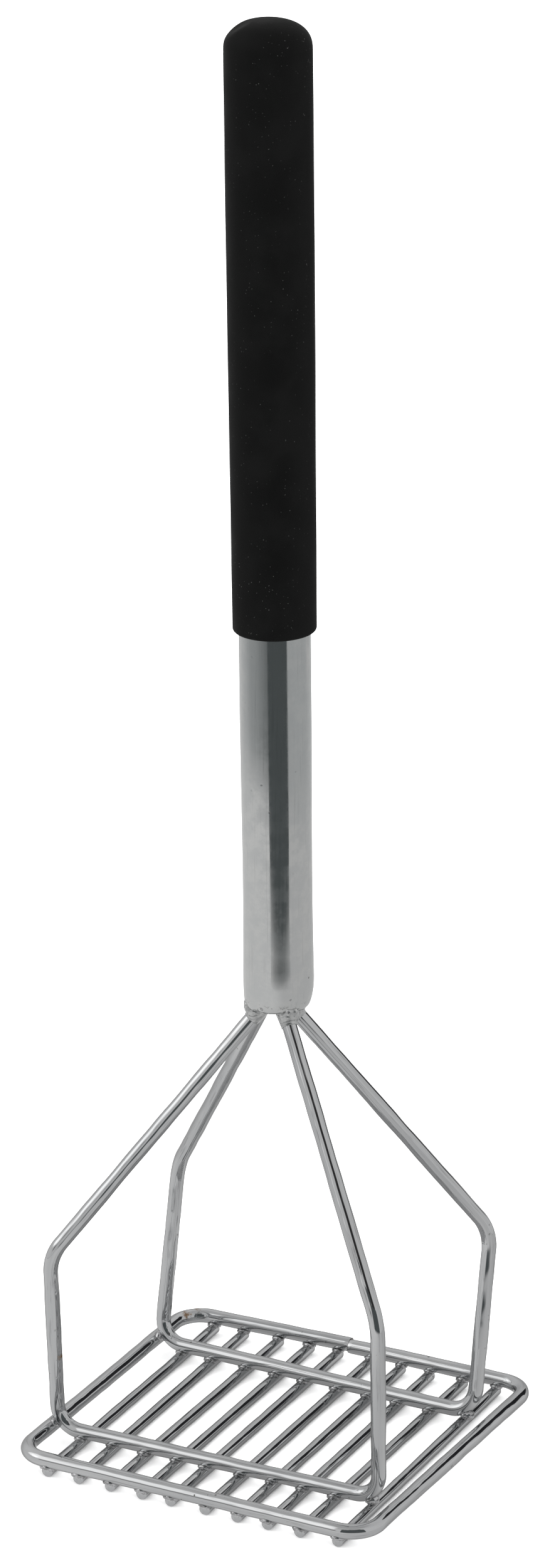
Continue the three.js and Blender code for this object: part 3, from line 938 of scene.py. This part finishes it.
def latheMesh(name, profile, closed):
    # Turns a profile of (radius, height) round the handle's axis, in its own frame.
    work = bmesh.new()
    turns = [2 * math.pi * step / latheSegments for step in range(latheSegments)]
    rings = []
    for radius, height in profile:
        if radius < 1e-6:
            rings.append([work.verts.new((0, 0, height * mm))])
            continue
        ring = [(radius * mm * math.cos(turn), radius * mm * math.sin(turn), height * mm) for turn in turns]
        rings.append([work.verts.new(corner) for corner in ring])
    pairs = list(zip(rings, rings[1:])) + ([(rings[-1], rings[0])] if closed else [])
    for lower, upper in pairs:
        for step in range(latheSegments):
            after = (step + 1) % latheSegments
            corners = [lower[step % len(lower)], lower[after % len(lower)],
                       upper[after % len(upper)], upper[step % len(upper)]]
            work.faces.new(list(dict.fromkeys(corners)))
    bmesh.ops.recalc_face_normals(work, faces=work.faces)
    mesh = bpy.data.meshes.new(name)
    work.to_mesh(mesh)
    work.free()
    smoothFaces(mesh)
    return mesh


def placeOnHandle(mesh, name, material):
    mesh.transform(handlePlace)
    mesh.materials.append(material)
    return addObject(name, mesh)


def tubeOutside():
    # The necked end as a quarter of an ellipse, then the side with its waist.
    shape = tubeShape
    profile = []
    for step in range(shape["neckSteps"] + 1):
        turn = math.pi / 2 * step / shape["neckSteps"]
        radius = shape["mouth"] + (shape["radius"] - shape["mouth"]) * math.sin(turn)
        profile.append((radius, shape["neck"] * (1 - math.cos(turn))))
    for step in range(1, shape["steps"] + 1):
        height = shape["neck"] + (shape["length"] - shape["neck"]) * step / shape["steps"]
        narrowing = shape["waist"] * math.exp(-((height - shape["waistAt"]) / shape["waistReach"]) ** 2)
        narrowing *= min(1.0, (height - shape["neck"]) / shape["waistStart"])
        profile.append((shape["radius"] - narrowing, height))
    return profile


def makeTube():
    shape = tubeShape
    outside = tubeOutside()
    inside = [(radius - shape["wall"], height) for radius, height in reversed(outside)]
    mesh = latheMesh("handleTube", outside + inside, True)
    for vertex in mesh.vertices:
        depth = max(0.0, 1 - vertex.co.z / mm / shape["neck"])
        vertex.co.x += shape["mouthShift"] * mm * depth ** 2
    piece = placeOnHandle(mesh, "handleTube", tubeMaterial())
    sharpenEdges(piece, 50.0)
    moveVertices(piece, roughen(shape["roughReach"], shape["roughDepth"], 2.0))
    return finishPiece(piece, ["handle_tube"])


def lipProfile():
    shape = gripShape
    profile = []
    for step in range(shape["lipSteps"] + 1):
        turn = math.pi / 2 * step / shape["lipSteps"]
        reach = shape["bottomRadius"] - shape["lip"] * (1 - math.sin(turn))
        height = shape["bottom"] + shape["lip"] * (1 - math.cos(turn))
        profile.append((max(reach, shape["bore"]), height))
    return profile


def domeProfile():
    # A quarter of a superellipse, flatter on top than a circle.
    shape = gripShape
    base = shape["top"] - shape["dome"]
    steps = shape["domeSteps"]
    profile = []
    for step in range(steps + 1):
        turn = math.pi / 2 * step / steps
        across = shape["radius"] * math.cos(turn) ** (2 / shape["power"])
        up = shape["dome"] * math.sin(turn) ** (2 / shape["power"])
        profile.append((across if step < steps else 0.0, base + up))
    return profile


def unevenSkin(place):
    # The sleeve is drawn in by a varying amount, always towards the handle's axis.
    axisX = handleAxis["x"] + (place.z - handleAxis["z"]) * math.tan(handleAxis["lean"])
    inward = Vector((axisX - place.x, handleAxis["y"] - place.y, 0.0))
    swell = 0.5 + 0.5 * noise.noise(place / gripShape["skinReach"] + Vector((7.0, 0.0, 0.0)))
    if inward.length <= gripShape["skinStart"]:
        return Vector()
    return inward.normalized() * swell * gripShape["skinDepth"]


def makeGrip():
    shape = gripShape
    lip, dome = lipProfile(), domeProfile()
    start, end = lip[-1][1], dome[0][1]
    side = []
    for step in range(1, shape["sideSteps"]):
        swell = min(1.0, step / shape["swellSteps"])
        radius = shape["bottomRadius"] + (shape["radius"] - shape["bottomRadius"]) * swell
        side.append((radius, start + (end - start) * step / shape["sideSteps"]))
    ceiling = tubeShape["length"] + shape["headroom"]
    bore = [(0.0, ceiling), (shape["bore"], ceiling), (shape["bore"], shape["bottom"])]
    mesh = latheMesh("gripSleeve", bore + lip[1:] + side + dome, False)
    piece = placeOnHandle(mesh, "gripSleeve", gripMaterial())
    sharpenEdges(piece, 50.0)
    moveVertices(piece, unevenSkin)
    moveVertices(piece, hollowAt(*shape["dent"]))
    return finishPiece(piece, ["grip"])


makeTube()
makeGrip()

brazeShape = {
    "plug": ((-0.1, 0.3, 149.2), (8.7, 8.7, 2.3)),
    # a ring of lumps round the mouth; a number of noise makes each one different
    "edgeRadius": 8.5, "edgeLumps": 17, "edgeLift": 0.6, "edgeRadii": (1.35, 1.35, 1.15),
    "edgeOut": 0.25, "edgeUp": 0.7, "edgeGrowth": (0.5, 0.4, 0.0),
    # a cone round each leg, with beads on it
    "collarTop": 3.3, "collarEnd": 2.62, "collarLength": 6.0, "collarSunk": 1.5,
    "beads": 4, "beadOut": 1.9, "beadDown": 3.2, "beadStep": 0.5, "beadRadii": (1.15, 1.15, 0.95),
    # lumps that fill the corner between the mouth and each leg: out from the leg's top, height, radius
    "fillets": [(1.6, 147.6, 2.5), (3.0, 146.6, 2.5), (4.0, 147.2, 2.0), (4.6, 148.6, 1.5)],
    "filletAside": 0.9,
    "voxel": 0.28, "smoothing": 4, "roughReach": 1.6, "roughDepth": 0.5,
}


def brazeEdge():
    shape = brazeShape
    mouth = Vector((handleAxis["x"] + tubeShape["mouthShift"], handleAxis["y"], handleAxis["z"]))
    balls = []
    for step in range(shape["edgeLumps"]):
        turn = 2 * math.pi * step / shape["edgeLumps"]
        vary = noise.noise(Vector((step * 1.7, 3.1, 0.4)))
        outward = Vector((math.cos(turn), math.sin(turn), 0))
        place = mouth + outward * (shape["edgeRadius"] + shape["edgeOut"] * vary)
        place.z += shape["edgeLift"] + shape["edgeUp"] * vary
        radii = [radius + growth * vary for radius, growth in zip(shape["edgeRadii"], shape["edgeGrowth"])]
        balls.append((place, radii))
    return balls


def brazeCollar(leg):
    # The cone round one leg, and the lumps and beads on and behind it.
    shape = brazeShape
    top = Vector((*leg["mouth"], bailShape["mouthZ"]))
    along = (Vector(leg["knee"]) - top).normalized()
    cone = (top - along * shape["collarSunk"], top + along * shape["collarLength"],
            shape["collarTop"], shape["collarEnd"])
    outward = Vector((along.x, along.y, 0)).normalized()
    sideways = Vector((-outward.y, outward.x, 0))
    balls = []
    for out, height, radius in shape["fillets"]:
        for aside in (-shape["filletAside"], shape["filletAside"]):
            place = top + outward * out + sideways * aside
            balls.append(((place.x, place.y, height), (radius, radius, radius)))
    for step in range(shape["beads"]):
        turn = 2 * math.pi * step / shape["beads"] + leg["mouth"][0]
        side = Vector((math.cos(turn), math.sin(turn), 0.2)) * shape["beadOut"]
        down = along * (shape["beadDown"] + shape["beadStep"] * step)
        balls.append((top + down + side, shape["beadRadii"]))
    return cone, balls


def makeBraze():
    shape = brazeShape
    balls, cones = [shape["plug"], *brazeEdge()], []
    for which in ("front", "rear"):
        for side in ("left", "right"):
            cone, lumps = brazeCollar(bailShape[which][side])
            cones.append(cone)
            balls += lumps
    mesh = lumpMesh(balls, cones)
    piece = meltPiece("tubeEndBraze", mesh, shape["voxel"], shape["smoothing"], weldMaterial("brazeMetal"))
    moveVertices(piece, roughen(shape["roughReach"], shape["roughDepth"], 9.0))
    return finishPiece(piece, ["tube_end_braze"])


makeBraze()
print("handle made")


# Studio

stageLook = {"floor": (0.93, 0.93, 0.93), "floorSize": 40.0}
cameraView = {"azimuth": 27.32, "elevation": 20.01, "roll": 0.28, "lens": 137.58, "distance": 1.9073,
              "offset": (0.000237, -0.207071), "sensor": 36.0, "farthest": 100.0}


def stageObject(name, corners, material):
    mesh = bpy.data.meshes.new(name)
    mesh.from_pydata(corners, [], [tuple(range(len(corners)))])
    mesh.materials.append(material)
    made = addObject(name, mesh)
    return made


def makeFloor():
    material, _, shader = newMaterial("paleFloor", Roughness=0.9)
    shader.inputs["Base Color"].default_value = (*stageLook["floor"], 1.0)
    reach = stageLook["floorSize"] / 2
    corners = [(-reach, -reach, 0), (reach, -reach, 0), (reach, reach, 0), (-reach, reach, 0)]
    floor = stageObject("floor", corners, material)
    floor.visible_glossy = False


# What the metal mirrors: a table with a shaded place under the head, two black cards, and the room.
# Places in metres; turns in degrees round the object, 0 towards the camera and + to its right.

# Painted light and shade on the table sheet: it glows lighter to the left and dimmer to the right, with
# painted shade in the footprint under the head.
tableTop = {
    "below": 0.001, "reach": 0.66, "fade": 0.10, "left": 0.70, "right": 0.57, "leftToRight": (-0.10, 0.12),
    "footprint": (0.048, 0.066), "shaded": 0.56,
}
blackCards = {
    "cameraSide": {"turns": (-24, 38), "away": 0.45, "heights": (0.0, 0.36), "fade": (0.004, 0.046),
                   "level": (0.082, 0.092, 0.094)},
    "behindRight": {"turns": (119, 144), "away": 0.55, "heights": (0.08, 0.40), "fade": (0.09, 0.15),
                    "level": (0.02, 0.02, 0.022)},
}
cardFoot = (0.55, 0.55, 0.55)     # a card fades into this at its lower edge

# The room past the table, all the way round: degrees and light
roomLevels = [(-180, 0.64), (-140, 0.62), (-107, 0.50), (-84, 0.37), (-64, 0.34), (-47, 0.27), (-30, 0.20),
              (-16, 0.14), (30, 0.14), (42, 0.44), (70, 0.46), (107, 0.46), (140, 0.54), (180, 0.64)]
roomTint = {"brightest": 0.66, "cool": 0.05, "green": 0.6}     # the darker the cooler


def wrapDegrees(tree, angle):
    return mathNode(tree, "WRAP", angle, 180.0, -180.0)


def roomRing(tree, direction):
    # Light by the angle round the object
    parts = separate(tree, direction)
    angle = mathNode(tree, "DEGREES", mathNode(tree, "ARCTAN2", parts["Y"], parts["X"]))
    turn = wrapDegrees(tree, mathNode(tree, "SUBTRACT", angle, cameraView["azimuth"] - 90))
    share = mathNode(tree, "DIVIDE", mathNode(tree, "ADD", turn, 180.0), 360.0)
    ramp = addNode(tree, "ShaderNodeValToRGB", {"Fac": share})
    stops = ramp.color_ramp.elements
    while len(stops) < len(roomLevels):
        stops.new(0.5)
    for stop, (degrees, _) in zip(stops, roomLevels):
        stop.position = (degrees + 180) / 360
    for stop, (_, level) in zip(stops, roomLevels):
        cool = roomTint["cool"] * (1 - level / roomTint["brightest"])
        stop.color = (level * (1 - cool), level * (1 + cool * roomTint["green"]), level * (1 + cool), 1.0)
    return ramp.outputs["Color"]


def stageSheet(name, corners):
    # Something only reflections see. It gives back its own material tree and its light.
    material, tree, shader = newMaterial(name + "Glow", Roughness=1.0)
    shader.inputs["Base Color"].default_value = (0.0, 0.0, 0.0, 1.0)
    shader.inputs["Specular IOR Level"].default_value = 0.0
    shader.inputs["Emission Strength"].default_value = 1.0
    sheet = stageObject(name, corners, material)
    sheet.visible_camera = sheet.visible_diffuse = sheet.visible_shadow = False
    return tree, shader.inputs["Emission Color"]


def roundPlace(turn, away, height):
    angle = math.radians(turn - 90 + cameraView["azimuth"])
    return (away * math.cos(angle), away * math.sin(angle), height)


def makeTableTop():
    look = tableTop
    corners = [roundPlace(turn, look["reach"], -look["below"]) for turn in range(0, 360, 6)]
    tree, light = stageSheet("tableTop", corners)
    place = objectPlace(tree)
    parts = separate(tree, place)
    x, y = parts["X"], parts["Y"]
    turn = math.radians(cameraView["azimuth"])
    aside = mathNode(tree, "ADD", mathNode(tree, "MULTIPLY", x, math.cos(turn)),
                     mathNode(tree, "MULTIPLY", y, math.sin(turn)))
    # Painted light: the sheet glows lighter to the left than to the right.
    level = rampNode(tree, aside, *look["leftToRight"], look["left"], look["right"])
    outside = mathNode(tree, "MAXIMUM", mathNode(tree, "ABSOLUTE", x), mathNode(tree, "ABSOLUTE", y))
    # Painted shade: the sheet glows darker inside the head's footprint.
    shade = rampNode(tree, outside, *look["footprint"], look["shaded"], 1.0)
    lit = greyColor(tree, mathNode(tree, "MULTIPLY", level, shade))
    away = vectorMath(tree, "LENGTH", place)
    fade = rampNode(tree, away, look["reach"] - look["fade"], look["reach"])
    tree.links.new(mixColor(tree, fade, lit, roomRing(tree, place)), light)


def makeBlackCard(name):
    look = blackCards[name]
    (first, last), (low, high) = look["turns"], look["heights"]
    corners = [roundPlace(turn, look["away"], height)
               for turn, height in ((first, low), (last, low), (last, high), (first, high))]
    tree, light = stageSheet(name, corners)
    height = separate(tree, objectPlace(tree))["Z"]
    tree.links.new(mixColor(tree, rampNode(tree, height, *look["fade"]), cardFoot, look["level"]), light)


# Each panel: centre and half size in degrees (azimuth, and height above the horizon), edge, level
studioPanels = [
    ((-79, 37), (27, 18), 4, 1.22),      # softbox to the left
    ((-80, 27), (12, 10), 6, 1.6),       # and its bright middle
    ((13, 45), (22, 7), 4, 0.035),       # black card above the camera
    ((-52, 10), (8, 5), 3, 0.26),        # the softbox's stand and edge
]
# Light by the height above the horizon, in degrees
studioGradient = [(-90, 0.50), (-40, 0.62), (-10, 0.66), (10, 0.63), (40, 0.65), (58, 0.62), (66, 0.5),
                  (90, 0.48)]
ringBand = {"middle": -28.0, "edge": (22.0, 17.0)}     # where the room's ring shows instead, in degrees
plainLight = 2.2


def panelMask(tree, azimuth, elevation, centre, reach, soft):
    # A soft-edged rectangle
    across = mathNode(tree, "ABSOLUTE", wrapDegrees(tree, mathNode(tree, "SUBTRACT", azimuth, centre[0])))
    up = mathNode(tree, "ABSOLUTE", mathNode(tree, "SUBTRACT", elevation, centre[1]))
    inAzimuth = rampNode(tree, across, reach[0] + soft, reach[0] - soft)
    inHeight = rampNode(tree, up, reach[1] + soft, reach[1] - soft)
    return mathNode(tree, "MULTIPLY", inAzimuth, inHeight)


def studioLight(tree, direction):
    turned = addNode(tree, "ShaderNodeVectorRotate",
                     {"Vector": direction, "Angle": -math.radians(cameraView["azimuth"])},
                     rotation_type="Z_AXIS").outputs["Vector"]
    parts = separate(tree, turned)
    back = mathNode(tree, "MULTIPLY", parts["Y"], -1.0)
    azimuth = mathNode(tree, "DEGREES", mathNode(tree, "ARCTAN2", parts["X"], back))
    elevation = mathNode(tree, "DEGREES", mathNode(tree, "ARCSINE", parts["Z"]))
    level = studioGradient[0][1]
    for (low, lowLevel), (high, highLevel) in zip(studioGradient, studioGradient[1:]):
        rise = rampNode(tree, elevation, low, high, 0.0, highLevel - lowLevel, shape="LINEAR")
        level = mathNode(tree, "ADD", rise, level)
    for centre, reach, soft, panelLevel in studioPanels:
        mask = panelMask(tree, azimuth, elevation, centre, reach, soft)
        gap = mathNode(tree, "SUBTRACT", panelLevel, level)
        level = mathNode(tree, "ADD", level, mathNode(tree, "MULTIPLY", mask, gap))
    height = mathNode(tree, "ABSOLUTE", mathNode(tree, "SUBTRACT", elevation, ringBand["middle"]))
    inRing = rampNode(tree, height, *ringBand["edge"])
    return mixColor(tree, inRing, greyColor(tree, level), roomRing(tree, direction))


def makeWorld():
    # Reflections see the studio, and everything else sees plain white light.
    world = bpy.data.worlds.new("studio")
    bpy.context.scene.world = world
    world.use_nodes = True
    tree = world.node_tree
    tree.nodes.clear()
    direction = addNode(tree, "ShaderNodeTexCoord").outputs["Generated"]
    seen = studioLight(tree, direction)
    rays = addNode(tree, "ShaderNodeLightPath").outputs
    mirrored = addNode(tree, "ShaderNodeBackground", {"Color": seen, "Strength": 1.0})
    plain = addNode(tree, "ShaderNodeBackground", {"Color": (1.0, 1.0, 1.0, 1.0), "Strength": plainLight})
    mix = addNode(tree, "ShaderNodeMixShader", {"Fac": rays["Is Glossy Ray"]})
    tree.links.new(plain.outputs[0], mix.inputs[1])
    tree.links.new(mirrored.outputs[0], mix.inputs[2])
    output = addNode(tree, "ShaderNodeOutputWorld")
    tree.links.new(mix.outputs[0], output.inputs["Surface"])


def makeCamera():
    view = cameraView
    around, above = math.radians(view["azimuth"]), math.radians(view["elevation"])
    right = Vector((math.cos(around), math.sin(around), 0))
    ahead = Vector((-math.sin(around), math.cos(around), 0))
    forward = ahead * math.cos(above) - Vector((0, 0, 1)) * math.sin(above)
    up = ahead * math.sin(above) + Vector((0, 0, 1)) * math.cos(above)
    turn = math.radians(view["roll"])
    acrossImage = right * math.cos(turn) + up * math.sin(turn)
    upImage = up * math.cos(turn) - right * math.sin(turn)
    place = -forward * view["distance"] - acrossImage * view["offset"][0] - upImage * view["offset"][1]
    axes = Matrix((acrossImage, upImage, -forward)).transposed().to_4x4()
    data = bpy.data.cameras.new("camera")
    data.lens = view["lens"]
    data.sensor_width = view["sensor"]
    data.clip_end = view["farthest"]
    camera = addObject("camera", data)
    camera.matrix_world = Matrix.Translation(place) @ axes
    bpy.context.scene.camera = camera


softboxes = {
    "keyLight": {"place": (-1.1, -1.0, 1.6), "size": 1.2, "power": 7.0},
    "fillLight": {"place": (1.3, -0.6, 1.2), "size": 1.0, "power": 3.0},
}
softboxAim = Vector((0, 0, 0.2))


def addSoftbox(name):
    box = softboxes[name]
    data = bpy.data.lights.new(name, "AREA")
    data.shape = "RECTANGLE"
    data.size = data.size_y = box["size"]
    data.energy = box["power"]
    lamp = addObject(name, data)
    lamp.location = box["place"]
    lamp.rotation_mode = "QUATERNION"
    lamp.rotation_quaternion = (softboxAim - Vector(box["place"])).to_track_quat("-Z", "Y")
    lamp.visible_glossy = False


bpy.context.scene.view_settings.view_transform = "Standard"
makeFloor()
makeTableTop()
for name in blackCards:
    makeBlackCard(name)
makeWorld()
makeCamera()
for name in softboxes:
    addSoftbox(name)

print("studio made")
